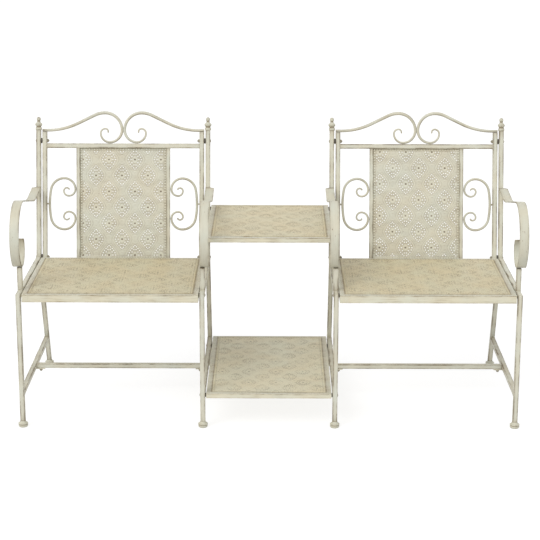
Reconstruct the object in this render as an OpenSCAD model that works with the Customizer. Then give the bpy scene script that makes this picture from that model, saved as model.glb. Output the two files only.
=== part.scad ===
// Companion bench: two metal armchairs joined by a small table and a low shelf.
// The bench stands on z = 0, faces -Y, and x = 0 is its middle. Lengths are in millimetres.

/* [Layout] */
// Height of the seat, to the top of the side rails
seat_h = 450; // [400:5:500]
// Distance between the two side frames of one chair, middle to middle
chair_w = 586.8; // [520:5:680]
// Distance between the two inner side frames, middle to middle
table_gap = 429.4; // [360:5:520]
// From the front face of the front legs to the middle of the rear posts at seat height
seat_d = 485; // [430:5:540]
// Backward slope of the back, in degrees
recline = 13.2; // [6:0.2:18]
// Backward slope of the rear legs, in degrees
splay = 20; // [10:0.1:22]

/* [Tube] */
// Outside width of the square tube
tube = 16; // [14:1:22]
// Wall of the square tube
tube_wall = 1.2; // [0.8:0.1:2]
// Height of the low stretchers, to their middle
stretcher_z = 114; // [90:2:150]

/* [Back] */
// Length of the rear posts above the seat, along the slope
post_rise = 437; // [400:1:480]
// Length of the back panel's uprights above the seat, along the slope
upright_rise = 430; // [395:1:470]
// How far the back panel reaches below the seat line, along the slope
panel_drop = 24; // [20:1:30]
// Top of the panel's top rail above the seat, along the slope
top_rail_rise = 390; // [350:1:400]
// Clear width between a vertical bar and its upright, where the C scroll stands
scroll_gap = 101.85; // [94:0.05:130]
// Width of a vertical bar
bar_w = 12.5; // [10:0.5:16]
// Depth of a vertical bar
bar_d = 12; // [10:0.5:16]

/* [Scrolls] */
// Highest point of the crest's middle line above the seat, along the slope
crest_rise = 496; // [480:1:520]
// Rod of the crest scrolls
crest_rod = 10; // [8:0.5:12]
// Radius of the crest's big loop at its top
crest_loop_r = 59; // [52:1:64]
// Slope of the crest's straight run, in degrees
crest_slope = 26; // [20:1:32]
// Rod of the C scrolls
c_rod = 8.5; // [6:0.5:10]
// Height of a C scroll, between the middle lines of its top and bottom
c_h = 177; // [160:1:200]
// Height of a C scroll's middle above the seat, along the slope
c_rise = 181; // [160:1:200]

/* [Arms] */
// From the leg's front face to the middle of the arm support
support_y = 58; // [40:1:70]
// Width of the flat strap
strap_w = 30; // [25:1:36]
// Thickness of the flat strap
strap_t = 4; // [3:0.5:6]
// Height of the hump above the floor, to the strap's middle line
hump_z = 724; // [700:1:740]
// From the leg's front face to the front of the big arc, to the strap's middle line
arm_front = 15; // [5:1:30]
// Radius of the big front arc
arm_r = 110; // [90:1:120]
// Radius of the curled end
curl_r = 49; // [40:1:56]
// Slope of the strap behind the hump, in degrees
arm_fall = 12.6; // [8:0.2:16]
// Height of the dip above the floor, to the strap's middle line
dip_z = 670; // [655:1:690]
// Slope of the strap where it rises to the post, in degrees
arm_climb = 6; // [3:0.5:10]
// Radius of the dip
dip_r = 190; // [150:5:230]

/* [Seat] */
// Gap between the seat frame's rear edge and the middle of the rear posts
seat_back_gap = 23; // [12:1:40]
// Width of the flange of the seat's steel angle
seat_flange = 25; // [20:1:30]
// Thickness of the seat's steel angle
seat_flange_t = 2; // [1.5:0.5:3]

/* [Table and shelf] */
// Height of the table top
table_z = 620; // [600:1:640]
// From the legs' front face back to the table's front edge
table_set = 73; // [60:1:90]
// How far the table runs on behind the middle of the rear posts
table_tail = 19.2; // [8:0.1:40]
// Width of the flange of the table's and the shelf's steel angle
table_flange = 15; // [12:0.5:20]
// Thickness of that angle
table_flange_t = 1.5; // [1:0.5:2.5]
// Height of the shelf
shelf_z = 119.5; // [110:0.5:130]
// How far the shelf stands proud of the legs' front faces
shelf_proud = 6; // [0:1:15]
// How far the shelf runs on behind the rear legs' front at the low stretchers
shelf_tail = 2.7; // [0:0.1:12]

/* [Sheets] */
// Thickness of the pierced sheets
sheet_t = 0.8; // [0.6:0.1:1.5]
// Plain band beside the pattern of the seats, table and shelf, left and right
side_band = 17; // [10:1:30]
// The same at the front and the rear
end_band = 5; // [3:1:20]
// Width of one pattern cell
cell_w = 90; // [70:1:120]
// Height of one pattern cell
cell_h = 110.4; // [90:1:140]
// Distance of the pierced petals from the middle of their medallion, sideways
petal_ring = 21; // [16:1:26]
// Length of one petal
petal_l = 13; // [8:0.5:16]
// Width of one petal
petal_w = 5; // [3:0.5:7]

/* [Feet, finials and fasteners] */
// Largest diameter of a foot
foot_d = 32; // [26:1:40]
// Height of a foot
foot_h = 21; // [16:1:30]
// Height of a finial
finial_h = 44.5; // [36:0.5:56]
// Largest diameter of a finial
finial_d = 24.5; // [18:0.5:30]
// Thread diameter of the bolts
bolt_d = 6; // [5:1:8]
// Diameter of the round spacers
spacer_d = 18; // [14:1:22]
// Thickness of the spacers between the back panel and the posts
back_gap = 5.3; // [3:0.1:8]
// Thickness of the spacers beside the seats
seat_gap = 3.4; // [2:0.1:6]
// Thickness of the spacers beside the table and the shelf
table_side_gap = 3.7; // [2:0.1:6]

/* [Hidden] */
FRAMES = ["left_outer", "left_inner", "right_inner", "right_outer"];
CHAIRS = ["left", "right"];
$fn = 64;

// Clearance of what seats on a curve or inside a bore
fit = 0.3;
// Overrun of every cut
over = 2;
// Overlap of rods that are drawn as one
lap = 1;

// Colours, as painted
paint = [0.85, 0.84, 0.78];
sheet_paint = [0.80, 0.77, 0.68];
spacer_black = [0.20, 0.19, 0.17];
bolt_paint = [0.66, 0.63, 0.55];

// Places of the side frames and the chairs across the bench
inner_x = table_gap / 2;
outer_x = inner_x + chair_w;
frame_x = [-outer_x, -inner_x, inner_x, outer_x];
chair_x = [-inner_x - chair_w / 2, inner_x + chair_w / 2];
// +1 where a frame's chair lies to its right, -1 where it lies to its left
chair_side = [1, -1, 1, -1];

// Depths are counted from the front face of the front legs
leg_y = tube / 2;
bore = tube - 2 * tube_wall;
rail_z = seat_h - tube / 2;
post_foot = [seat_d + (seat_h - foot_h) * tan(splay), foot_h];
post_knee = [seat_d, seat_h];
post_top = [seat_d + post_rise * sin(recline), seat_h + post_rise * cos(recline)];
mid_y = (leg_y - foot_d / 2 + post_foot[0] + foot_d / 2) / 2;
long_y = (leg_y + post_foot[0]) / 2 - 2 * tube;

// Panel sizes, from the middle of the chair and up the slope
upright_x = chair_w / 2 - tube - back_gap;
upright_face = upright_x - tube / 2;
bar_face = upright_face - scroll_gap;
bar_span = 2 * bar_face - bar_w;

// Depths of the seat and the shelf, which end at the rear posts
seat_frame_d = seat_d - seat_back_gap;
stretcher_end = seat_d + (seat_h - stretcher_z) * tan(splay);
shelf_d = shelf_proud + stretcher_end + shelf_tail;

// Bolt holes, as depth and height, and the places along the slope
hole_d = bolt_d + 2 * fit;
nut_d = 1.9 * bolt_d;
nut_h = 0.8 * bolt_d;
panel_bolt_rise = [top_rail_rise + 0.6 * tube, -0.2 * tube];
seat_bolt_y = [leg_y + 1.6 * tube, seat_frame_d - 2 * seat_flange];
seat_bolt_z = rail_z - 0.12 * tube;
shelf_bolt_y = [leg_y, seat_d + 2.5 * tube];
shelf_bolt_z = shelf_z - 0.6 * table_flange;
table_bolt_z = table_z - 0.6 * table_flange;
table_bolt_y = seat_d + (table_bolt_z - seat_h) * tan(recline);
table_d = table_bolt_y + table_tail - table_set;
small_spacer_d = 0.75 * spacer_d;
tab_t = 3;
tab_reach = 1.75 * tube;
stretcher_bolt_in = 0.85 * tube;

function on_slope(s) = [seat_d + s * sin(recline), seat_h + s * cos(recline)];

// Draws a child in leg coordinates at its place on the floor
module stand() translate([0, -mid_y, 0]) children();

// Draws a child in frame f, with depth and height kept and x from the tube's middle toward the chair
module in_frame(f) stand() translate([frame_x[f], 0, 0])
    mirror([chair_side[f] < 0 ? 1 : 0, 0, 0]) children();

// Draws a child in the slope of chair c: x across, z up the slope from the seat line
module in_slope(c) stand() translate([chair_x[c], seat_d, seat_h]) rotate([-recline, 0, 0]) children();

// Draws a flat child, made as depth and height, across the bench
module across() rotate([90, 0, 90]) children();
module across_plate(w) across() translate([0, 0, -w / 2]) linear_extrude(w) children();

module cross_cylinder(d, y, z, l) translate([0, y, z]) rotate([0, 90, 0])
    cylinder(d = d, h = l, center = true);

// Outline of half width h along the post's middle line, run on at the foot and at the top
function unit(a, b) = (b - a) / norm(b - a);
function left_of(d) = [-d[1], d[0]];
function post_outline(h, foot_run, top_run) = let (
    low = unit(post_foot, post_knee),
    high = unit(post_knee, post_top),
    corner = h * (left_of(low) + left_of(high)) / (1 + low * high),
    a = post_foot - low * foot_run,
    b = post_top + high * top_run)
    [a + h * left_of(low), post_knee + corner, b + h * left_of(high),
     b - h * left_of(high), post_knee - corner, a - h * left_of(low)];

// The post as a solid bar, level where it meets its foot
module post_bar() across_plate(tube) intersection() {
    polygon(post_outline(tube / 2, tube, 0));
    translate([0, foot_h]) square([post_foot[0] + tube, post_top[1]]);
}

// Square tube of length l across the bench, with both ends open
module tube_x(l, w = tube, d = tube) difference() {
    cube([l, d, w], center = true);
    cube([l + 2 * over, d - 2 * tube_wall, w - 2 * tube_wall], center = true);
}

module front_leg(f) color(paint) in_frame(f) difference() {
    across_plate(tube) polygon([[0, foot_h], [tube, foot_h], [tube, seat_h - tube], [0, seat_h]]);
    translate([-bore / 2, tube_wall, foot_h - over]) cube([bore, bore, seat_h]);
    if (f == 1 || f == 2) cross_cylinder(hole_d, shelf_bolt_y[0], shelf_bolt_z, tube + over);
}

module side_rail(f) color(paint) in_frame(f) difference() {
    across_plate(tube)
        polygon([[tube, seat_h - tube], [seat_d, seat_h - tube], [seat_d, seat_h], [0, seat_h]]);
    translate([-bore / 2, 0, seat_h - tube + tube_wall]) cube([bore, seat_d + over, bore]);
    post_bar();
    for (y = seat_bolt_y) cross_cylinder(hole_d, y, seat_bolt_z, tube + over);
}

module rear_post(f) color(paint) in_frame(f) difference() {
    post_bar();
    across_plate(bore) polygon(post_outline(bore / 2, tube, over));
    for (s = panel_bolt_rise) cross_cylinder(hole_d, on_slope(s)[0], on_slope(s)[1], tube + over);
    if (f == 1 || f == 2) cross_cylinder(hole_d, table_bolt_y, table_bolt_z, tube + over);
}

module side_stretcher(f) color(paint) in_frame(f) difference() {
    translate([-tube / 2, tube, stretcher_z - tube / 2]) cube([tube, stretcher_end - tube, tube]);
    translate([-bore / 2, tube - over, stretcher_z - bore / 2]) cube([bore, stretcher_end, bore]);
    post_bar();
    if (f == 1 || f == 2) cross_cylinder(hole_d, shelf_bolt_y[1], shelf_bolt_z, tube + over);
}

// The strap's middle line: big front arc, curl below it, straight fall, dip and climb to the post
arm_mid = [arm_front + arm_r, hump_z - arm_r];
curl_start = 222;
curl_mid = arm_mid + (arm_r - curl_r) * [cos(curl_start), sin(curl_start)];
curl_end_z = table_z - sheet_t - table_flange - fit;
curl_end = asin((curl_end_z - curl_mid[1]) / (curl_r + strap_t / 2));
fall_from = arm_mid + arm_r * [sin(arm_fall), cos(arm_fall)];
fall_l = (fall_from[1] - dip_z - dip_r * (1 - cos(arm_fall))) / sin(arm_fall);
dip_mid = fall_from + fall_l * [cos(arm_fall), -sin(arm_fall)] + dip_r * [sin(arm_fall), cos(arm_fall)];
climb_from = dip_mid + dip_r * [sin(arm_climb), -cos(arm_climb)];
strap_end_y = seat_d + (climb_from[1] + tube / 2 - seat_h) * tan(recline) - tube / 2 / cos(recline);

arc_step = 3;
function arc_points(mid, r, from, to, skip = 0) = let (n = ceil(abs(to - from) / arc_step))
    [for (i = [skip:n]) let (a = from + (to - from) * i / n) mid + r * [cos(a), sin(a)]];
// One side of the strap, e from its middle line, from the curled end back to the post
function strap_side(e) = concat(
    arc_points(curl_mid, curl_r + e, 360 + curl_end, curl_start),
    arc_points(arm_mid, arm_r + e, curl_start, 90 - arm_fall, 1),
    arc_points(dip_mid, dip_r - e, 270 - arm_fall, 270 + arm_climb),
    [climb_from + (post_top[0] - climb_from[0]) * [cos(arm_climb), sin(arm_climb)]
        + e * [-sin(arm_climb), cos(arm_climb)]]);
function reversed(l) = [for (i = [len(l) - 1:-1:0]) l[i]];

module arm_strap(f) {
    spare = strap_w - tube;
    color(paint) in_frame(f) difference() {
        translate([(tube - strap_w) / 2, 0, 0]) across_plate(strap_w)
            polygon(concat(strap_side(strap_t / 2), reversed(strap_side(-strap_t / 2))));
        post_bar();
        translate([0, 0, dip_z - strap_w]) linear_extrude(2 * strap_w) polygon([
            [-tube / 2, strap_end_y],
            [-tube / 2 - spare - over, strap_end_y - spare - over],
            [-tube / 2 - spare - over, post_top[0] + tube],
            [-tube / 2, post_top[0] + tube]]);
        translate([-strap_w, strap_end_y + tube / 2, dip_z - strap_w])
            cube([2 * strap_w, post_top[0], 2 * strap_w]);
    }
}

// Upright tube under the scroll; its back edge touches the strap
support_back = support_y + tube / 2;
support_top = curl_mid[1] - sqrt(pow(curl_r + strap_t / 2, 2) - pow(support_back - curl_mid[0], 2)) - fit;
module arm_support(f) color(paint) in_frame(f)
    translate([0, support_y, (seat_h + support_top) / 2]) difference() {
        cube([tube, tube, support_top - seat_h], center = true);
        cube([bore, bore, support_top], center = true);
    }

// Back panel
module back_uprights(c) color(paint) in_slope(c) for (s = [-1, 1])
    translate([s * upright_x, 0, -panel_drop]) difference() {
        translate([-tube / 2, -tube / 2, 0]) cube([tube, tube, panel_drop + upright_rise]);
        translate([-bore / 2, -bore / 2, -over])
            cube([bore, bore, panel_drop + upright_rise + over - tube_wall]);
        for (z = panel_bolt_rise) cross_cylinder(hole_d, 0, z + panel_drop, tube + over);
    }
module back_top_rail(c) color(paint) in_slope(c)
    translate([0, 0, top_rail_rise - tube / 2]) tube_x(2 * upright_face);
module back_bottom_rail(c) color(paint) in_slope(c)
    translate([0, 0, tube / 2 - panel_drop]) tube_x(2 * upright_face);
bar_low = tube - panel_drop;
bar_high = top_rail_rise - tube;
module back_bars(c) color(paint) in_slope(c) for (s = [-1, 1])
    translate([s * bar_span / 2, 0, (bar_low + bar_high) / 2]) rotate([0, 90, 0])
        tube_x(bar_high - bar_low, bar_w, bar_d);

// Pierced medallions in a half drop lattice, each a ring of petals round a whole middle
petal_aspect = 1.24;
// Where a medallion's middle lies on each chair's back, from the sheet's middle, as shares of a cell
back_pattern_shares = [[-0.054, -0.13], [0.094, 0.125]];
module petal() polygon([[-petal_l / 2, 0], [-petal_l / 6, petal_w / 2], [petal_l / 4, petal_w / 2],
    [petal_l / 2, 0], [petal_l / 4, -petal_w / 2], [-petal_l / 6, -petal_w / 2]]);
module medallions(w, h, petals, first) {
    nx = ceil(w / cell_w);
    ny = ceil(h / cell_h);
    for (i = [-2 * nx:2 * nx], j = [-2 * ny:2 * ny])
        if ((i + j) % 2 == 0) for (k = [0:petals - 1]) {
            a = (k + 0.5) * 360 / petals;
            x = i * cell_w / 2 + first[0] * cell_w + petal_ring * cos(a);
            y = j * cell_h / 2 + first[1] * cell_h + petal_aspect * petal_ring * sin(a);
            if (abs(x) < w / 2 - petal_l && abs(y) < h / 2 - petal_l)
                translate([x, y]) rotate(a) petal();
        }
}
module pierced(w, h, window_w, window_h, petals, first = [0, 0]) linear_extrude(sheet_t) difference() {
    square([w, h], center = true);
    medallions(window_w, window_h, petals, first);
}
module back_sheet(c) {
    w = bar_span - bar_w;
    h = bar_high - bar_low;
    color(sheet_paint) in_slope(c) translate([0, sheet_t / 2, (bar_low + bar_high) / 2]) rotate([90, 0, 0])
        pierced(w, h, w, h, 8, back_pattern_shares[c]);
}

// Round rod bent in the plane of the back
module rod_arc(mid, r, from, to, d) translate(mid) rotate([0, 0, from])
    rotate_extrude(angle = to - from, $fn = 64) translate([r, 0]) circle(d = d, $fn = 20);
module rod_run(from, slope, l, d) translate(from) rotate([0, 0, slope]) rotate([0, 90, 0])
    translate([0, 0, -lap]) cylinder(d = d, h = l + 2 * lap, $fn = 20);

// Crest: level on the upright, swept up to the loop, then curled in as the rod is drawn thinner
tail_rod_share = [1, 0.97, 0.94, 0.91];
loop_rod_share = [0.88, 0.84, 0.75, 0.65, 0.55];
crest_touch_x = (crest_rod * loop_rod_share[0] + fit) / 2;
loop_mid = [crest_touch_x + crest_loop_r, crest_rise - crest_loop_r];
loop_low = top_rail_rise + fit + crest_rod * loop_rod_share[1] / 2;
loop_r2 = loop_mid[1] - loop_low;
loop_r3 = 0.735 * loop_r2;
loop_r4 = 0.5 * loop_r3;
loop_r5 = 0.65 * loop_r4;
shoulder_r = 1.36 * crest_loop_r;
tail_rise = upright_rise + crest_rod / 2 + fit;
shoulder = [loop_mid[0], crest_rise] + shoulder_r * [sin(crest_slope), cos(crest_slope) - 1];
tail_x = upright_x - 0.6 * tube;
tail_drop = shoulder[1] - tail_rise;
tail_r = (tail_x - shoulder[0] - tail_drop / tan(crest_slope)) / tan(crest_slope / 2);
run_l = (tail_drop - tail_r * (1 - cos(crest_slope))) / sin(crest_slope);
module crest_half() {
    curl_x = crest_touch_x + loop_r2 + loop_r3 - loop_r4;
    thin = [for (s = loop_rod_share) crest_rod * s];
    tail = [for (s = tail_rod_share) crest_rod * s];
    rod_run([tail_x, tail_rise], 0, upright_x + tube / 2 - tail_x - lap, tail[0]);
    rod_arc([tail_x, tail_rise + tail_r], tail_r, 270 - crest_slope, 270 + 1, tail[1]);
    rod_run(shoulder, -crest_slope, run_l, tail[2]);
    rod_arc([loop_mid[0], crest_rise - shoulder_r], shoulder_r, 90 - crest_slope, 90, tail[3]);
    rod_arc(loop_mid, crest_loop_r, 90 - 4, 180, thin[0]);
    rod_arc([crest_touch_x + loop_r2, loop_mid[1]], loop_r2, 180 - 2, 270, thin[1]);
    rod_arc([crest_touch_x + loop_r2, loop_low + loop_r3], loop_r3, 270 - 1, 360, thin[2]);
    rod_arc([curl_x, loop_low + loop_r3], loop_r4, -2, 90, thin[3]);
    rod_arc([curl_x, loop_low + loop_r3 + loop_r4 - loop_r5], loop_r5, 90 - 3, 205, thin[4]);
}
module crest_scrolls(c) color(paint) in_slope(c) for (m = [0, 1])
    mirror([m, 0, 0]) rotate([90, 0, 0]) crest_half();

// C scroll between bar and upright, welded to the upright by a short stub
c_stub = 4.4;
c_rod_share = [0.97, 0.93, 0.86, 0.77, 0.7, 0.64];
c_in_x = bar_face + fit + c_rod / 2;
c_back_x = upright_face - c_stub - c_rod / 2;
c_r1 = 0.53 * c_h / 2;
c_r2 = 0.43 * c_h / 2;
c_r3 = 0.6 * c_r2;
c_r4 = 0.75 * c_r3;
c_r5 = 0.62 * c_r4;
c_r6 = 0.8 * c_r5;
c_sweep = 2 * atan((c_back_x - c_in_x - c_r2 - c_r1) / (c_h / 2 - c_r1));
c_back_r = c_r1 + (c_h / 2 - c_r1) / sin(c_sweep);
module c_half() {
    thin = [for (s = c_rod_share) c_rod * s];
    top_x = c_in_x + c_r2;
    side_y = c_h / 2 - c_r2;
    low_y = side_y - c_r3;
    rod_arc([top_x, c_h / 2 - c_r1], c_r1, c_sweep - 1, 90, thin[0]);
    rod_arc([top_x, side_y], c_r2, 90 - 1, 180, thin[1]);
    rod_arc([c_in_x + c_r3, side_y], c_r3, 180 - 1, 270, thin[2]);
    rod_arc([c_in_x + c_r3, low_y + c_r4], c_r4, 270 - 2, 360, thin[3]);
    rod_arc([c_in_x + c_r3 + c_r4 - c_r5, low_y + c_r4], c_r5, -2, 90, thin[4]);
    rod_arc([c_in_x + c_r3 + c_r4 - c_r5, low_y + c_r4 + c_r5 - c_r6], c_r6, 90 - 3, 170, thin[5]);
}
module c_scroll() {
    rod_arc([c_back_x - c_back_r, 0], c_back_r, -c_sweep, c_sweep, c_rod);
    c_half();
    mirror([0, 1, 0]) c_half();
    rod_run([c_back_x, 0], 0, upright_face - c_back_x - lap, c_rod / 2);
}
module c_scrolls(c) color(paint) in_slope(c) for (m = [0, 1]) mirror([m, 0, 0])
    translate([0, 0, c_rise]) rotate([90, 0, 0]) c_scroll();

// Frame of steel angle, top at z = 0 and front at y = 0, with its four bars mitred
module ring(w, d, inset) difference() {
    translate([-w / 2, 0]) square([w, d]);
    translate([inset - w / 2, inset]) square([w - 2 * inset, d - 2 * inset]);
}
module angle_frame(w, d, leg, t) {
    corner = [[-w / 2, 0], [w / 2, 0], [w / 2, d], [-w / 2, d]];
    inside = [[leg - w / 2, leg], [w / 2 - leg, leg], [w / 2 - leg, d - leg], [leg - w / 2, d - leg]];
    for (i = [0:3]) intersection() {
        translate([0, 0, -leg]) linear_extrude(leg)
            polygon([corner[i], corner[(i + 1) % 4], inside[(i + 1) % 4], inside[i]]);
        union() {
            translate([0, 0, -t]) linear_extrude(t) ring(w, d, leg);
            translate([0, 0, -leg]) linear_extrude(leg) ring(w, d, t);
        }
    }
}
// Sheet laid on the frame, flush with its edges, top at z = 0
module laid_sheet(w, d, petals) translate([0, d / 2, -sheet_t])
    pierced(w, d, w - 2 * side_band, d - 2 * end_band, petals);

seat_w = chair_w - tube - 2 * seat_gap;
module seat_frame(c) color(paint) stand() translate([chair_x[c], 0, 0]) difference() {
    translate([0, 0, seat_h - sheet_t]) angle_frame(seat_w, seat_frame_d, seat_flange, seat_flange_t);
    for (y = seat_bolt_y) cross_cylinder(hole_d, y, seat_bolt_z, chair_w);
}
module seat_sheet(c) color(sheet_paint) stand() translate([chair_x[c], 0, seat_h])
    laid_sheet(seat_w, seat_frame_d, 4);

table_w = table_gap - tube - 2 * table_side_gap;
module table_frame() color(paint) stand() difference() {
    translate([0, table_set, table_z - sheet_t])
        angle_frame(table_w, table_d, table_flange, table_flange_t);
    cross_cylinder(hole_d, table_bolt_y, table_bolt_z, table_gap);
}
module table_sheet() color(sheet_paint) stand() translate([0, table_set, table_z])
    laid_sheet(table_w, table_d, 4);
module shelf_frame() color(paint) stand() difference() {
    translate([0, -shelf_proud, shelf_z - sheet_t])
        angle_frame(table_w, shelf_d, table_flange, table_flange_t);
    for (y = shelf_bolt_y) cross_cylinder(hole_d, y, shelf_bolt_z, table_gap);
}
module shelf_sheet() color(sheet_paint) stand() translate([0, -shelf_proud, shelf_z])
    laid_sheet(table_w, shelf_d, 4);

// Long stretcher on two tabs
module long_stretcher(c) color(paint) stand() translate([chair_x[c], long_y, stretcher_z]) difference() {
    tube_x(chair_w - tube - 2 * fit);
    for (s = [-1, 1]) translate([s * (chair_w / 2 - tube / 2 - stretcher_bolt_in), 0, -tube / 2])
        cylinder(d = hole_d, h = 2 * (tube_wall + fit), center = true);
}
module stretcher_tabs() color(paint) for (f = [0:3]) in_frame(f)
    translate([-tube / 2, long_y - tube / 2, stretcher_z - tube / 2 - tab_t]) difference() {
        cube([tube + tab_reach, tube, tab_t]);
        translate([tube + stretcher_bolt_in, tube / 2, -over]) cylinder(d = hole_d, h = tab_t + 2 * over);
    }

// Turned profile through key places, given as shares of height and of half the diameter, eased between them
function eased(keys, n) = [for (i = [0:len(keys) - 2], k = [0:n - 1]) let (
    t = k / n,
    e = (1 - cos(180 * t)) / 2)
    [keys[i][1] * (1 - e) + keys[i + 1][1] * e, keys[i][0] * (1 - t) + keys[i + 1][0] * t]];
module turned(keys, d, h, n = 4) rotate_extrude() polygon(concat(
    [[0, keys[0][0] * h]],
    [for (p = eased(keys, n)) [p[0] * d / 2, p[1] * h]],
    [[keys[len(keys) - 1][1] * d / 2, keys[len(keys) - 1][0] * h], [0, keys[len(keys) - 1][0] * h]]));

foot_shares = [[0, 0.84], [0.1, 0.95], [0.38, 1], [0.68, 0.72], [1, 0.54]];
plug_h = 0.8 * tube;
plug_w = bore - 2 * fit;
module front_feet() color(paint) for (f = [0:3]) in_frame(f) translate([0, leg_y, 0]) {
    turned(foot_shares, foot_d, foot_h);
    translate([-plug_w / 2, -plug_w / 2, foot_h - over]) cube([plug_w, plug_w, plug_h + over]);
}
module rear_feet() color(paint) for (f = [0:3]) in_frame(f) {
    translate([0, post_foot[0], 0]) turned(foot_shares, foot_d, foot_h);
    across_plate(plug_w) intersection() {
        polygon(post_outline(plug_w / 2, tube, 0));
        translate([0, foot_h - over / 2]) square([post_foot[0] + tube, plug_h + over / 2]);
    }
}
finial_shares = [[0, 0.88], [0.17, 0.88], [0.24, 0.68], [0.41, 1], [0.62, 0.48], [0.72, 0.42]];
ball_d = 0.58 * finial_d;
module finial() {
    turned(finial_shares, finial_d, finial_h);
    translate([0, 0, finial_h - ball_d / 2]) sphere(d = ball_d);
    translate([-plug_w / 2, -plug_w / 2, -plug_h]) cube([plug_w, plug_w, plug_h + over]);
}
module finials() color(paint) for (f = [0:3]) in_frame(f) translate([0, post_top[0], post_top[1]])
    rotate([-recline, 0, 0]) finial();

// Fasteners, drawn along +x from the face that the head lies on
module spacer(d, t) rotate([0, 90, 0]) difference() {
    cylinder(d = d, h = t);
    translate([0, 0, -over]) cylinder(d = hole_d, h = t + 2 * over);
}
head_h = 0.45 * bolt_d;
head_r = (pow(bolt_d, 2) + pow(head_h, 2)) / (2 * head_h);
module screw(l) {
    rotate([0, 90, 0]) cylinder(d = bolt_d, h = l);
    intersection() {
        translate([head_r - head_h, 0, 0]) sphere(r = head_r);
        translate([-head_h, -bolt_d, -bolt_d]) cube([head_h, 2 * bolt_d, 2 * bolt_d]);
    }
}
module bolt(grip) {
    screw(grip + nut_h + 0.4 * bolt_d);
    translate([grip, 0, 0]) rotate([0, 90, 0]) difference() {
        cylinder(d = nut_d, h = nut_h, $fn = 6);
        translate([0, 0, -over]) cylinder(d = bolt_d + fit, h = nut_h + 2 * over);
    }
}
// Bolt with a domed nut
module capped_bolt(grip) {
    screw(grip + nut_h);
    translate([grip, 0, 0]) rotate([0, 90, 0]) difference() {
        union() {
            cylinder(d = nut_d, h = nut_h, $fn = 6);
            translate([0, 0, nut_h]) sphere(d = 0.8 * nut_d, $fn = 32);
        }
        translate([0, 0, -over]) cylinder(d = bolt_d + fit, h = nut_h + over + fit);
    }
}
module spacers() color(spacer_black) for (f = [0:3]) in_frame(f) {
    for (s = panel_bolt_rise) translate([tube / 2, on_slope(s)[0], on_slope(s)[1]])
        spacer(spacer_d, back_gap);
    for (y = seat_bolt_y) translate([tube / 2, y, seat_bolt_z]) spacer(small_spacer_d, seat_gap);
    if (f == 1 || f == 2) {
        for (y = shelf_bolt_y) translate([-tube / 2 - table_side_gap, y, shelf_bolt_z])
            spacer(small_spacer_d, table_side_gap);
        translate([-tube / 2 - table_side_gap, table_bolt_y, table_bolt_z])
            spacer(small_spacer_d, table_side_gap);
    }
}
module back_bolts() color(bolt_paint) for (f = [0:3], s = panel_bolt_rise) in_frame(f)
    translate([-tube / 2, on_slope(s)[0], on_slope(s)[1]]) bolt(2 * tube + back_gap);
module seat_bolts() color(bolt_paint) for (f = [0:3], y = seat_bolt_y) in_frame(f)
    translate([-tube / 2, y, seat_bolt_z]) bolt(tube + seat_gap + seat_flange_t);
module table_bolts() color(bolt_paint) for (f = [1, 2]) in_frame(f) mirror([1, 0, 0]) {
    for (y = shelf_bolt_y) translate([-tube / 2, y, shelf_bolt_z])
        bolt(tube + table_side_gap + table_flange_t);
    translate([-tube / 2, table_bolt_y, table_bolt_z]) bolt(tube + table_side_gap + table_flange_t);
}
module stretcher_bolts() color(bolt_paint) for (f = [0:3]) in_frame(f)
    translate([tube / 2 + stretcher_bolt_in, long_y, stretcher_z - bore / 2])
        rotate([0, 90, 0]) capped_bolt(tab_t + tube_wall);

for (f = [0:3]) {
    front_leg(f);
    side_rail(f);
    rear_post(f);
    side_stretcher(f);
    arm_strap(f);
    arm_support(f);
}
for (c = [0:1]) {
    back_uprights(c);
    back_top_rail(c);
    back_bottom_rail(c);
    back_bars(c);
    back_sheet(c);
    crest_scrolls(c);
    c_scrolls(c);
    seat_frame(c);
    seat_sheet(c);
    long_stretcher(c);
}
table_frame();
table_sheet();
shelf_frame();
shelf_sheet();
front_feet();
rear_feet();
finials();
stretcher_tabs();
spacers();
back_bolts();
seat_bolts();
table_bolts();
stretcher_bolts();
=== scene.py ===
import math

import bpy
import numpy as np
from mathutils import Matrix, Vector
from mathutils.geometry import delaunay_2d_cdt


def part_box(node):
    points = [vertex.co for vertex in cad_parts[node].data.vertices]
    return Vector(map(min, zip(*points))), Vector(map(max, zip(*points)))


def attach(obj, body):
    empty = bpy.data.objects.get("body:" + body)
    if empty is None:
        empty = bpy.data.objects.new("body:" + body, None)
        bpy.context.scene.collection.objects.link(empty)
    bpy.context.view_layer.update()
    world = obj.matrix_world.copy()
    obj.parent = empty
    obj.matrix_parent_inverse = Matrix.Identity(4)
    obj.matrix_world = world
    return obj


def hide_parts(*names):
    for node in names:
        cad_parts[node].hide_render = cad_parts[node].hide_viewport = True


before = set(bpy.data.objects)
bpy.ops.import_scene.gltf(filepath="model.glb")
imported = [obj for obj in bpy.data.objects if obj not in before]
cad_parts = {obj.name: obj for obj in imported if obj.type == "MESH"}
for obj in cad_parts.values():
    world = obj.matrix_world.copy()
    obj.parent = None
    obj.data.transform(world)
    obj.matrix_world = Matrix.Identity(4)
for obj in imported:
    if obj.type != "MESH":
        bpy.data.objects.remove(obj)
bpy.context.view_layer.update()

# Side frames.
# Four frames of 16 mm square steel tube: front leg mitred to the seat rail, a post bent at the seat,
# a low stretcher and a short arm support, butted together and welded, then painted cream and rubbed back.
MM = 0.001
FRAMES = ("left_outer", "left_inner", "right_inner", "right_outer")
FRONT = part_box("front_leg_left_outer")[0].y
TUBE, TUBE_CORNER = 16 * MM, 2.1 * MM
SEAT_H, RAIL_Z, FOOT_H, STRETCHER_Z = 450 * MM, 442 * MM, 21 * MM, 114 * MM
KNEE_Y, RECLINE, SPLAY, POST_RISE = 485 * MM, math.radians(13.2), math.radians(20), 437 * MM
SUPPORT_Y, SUPPORT_TOP = 58 * MM, 523.8 * MM
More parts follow.
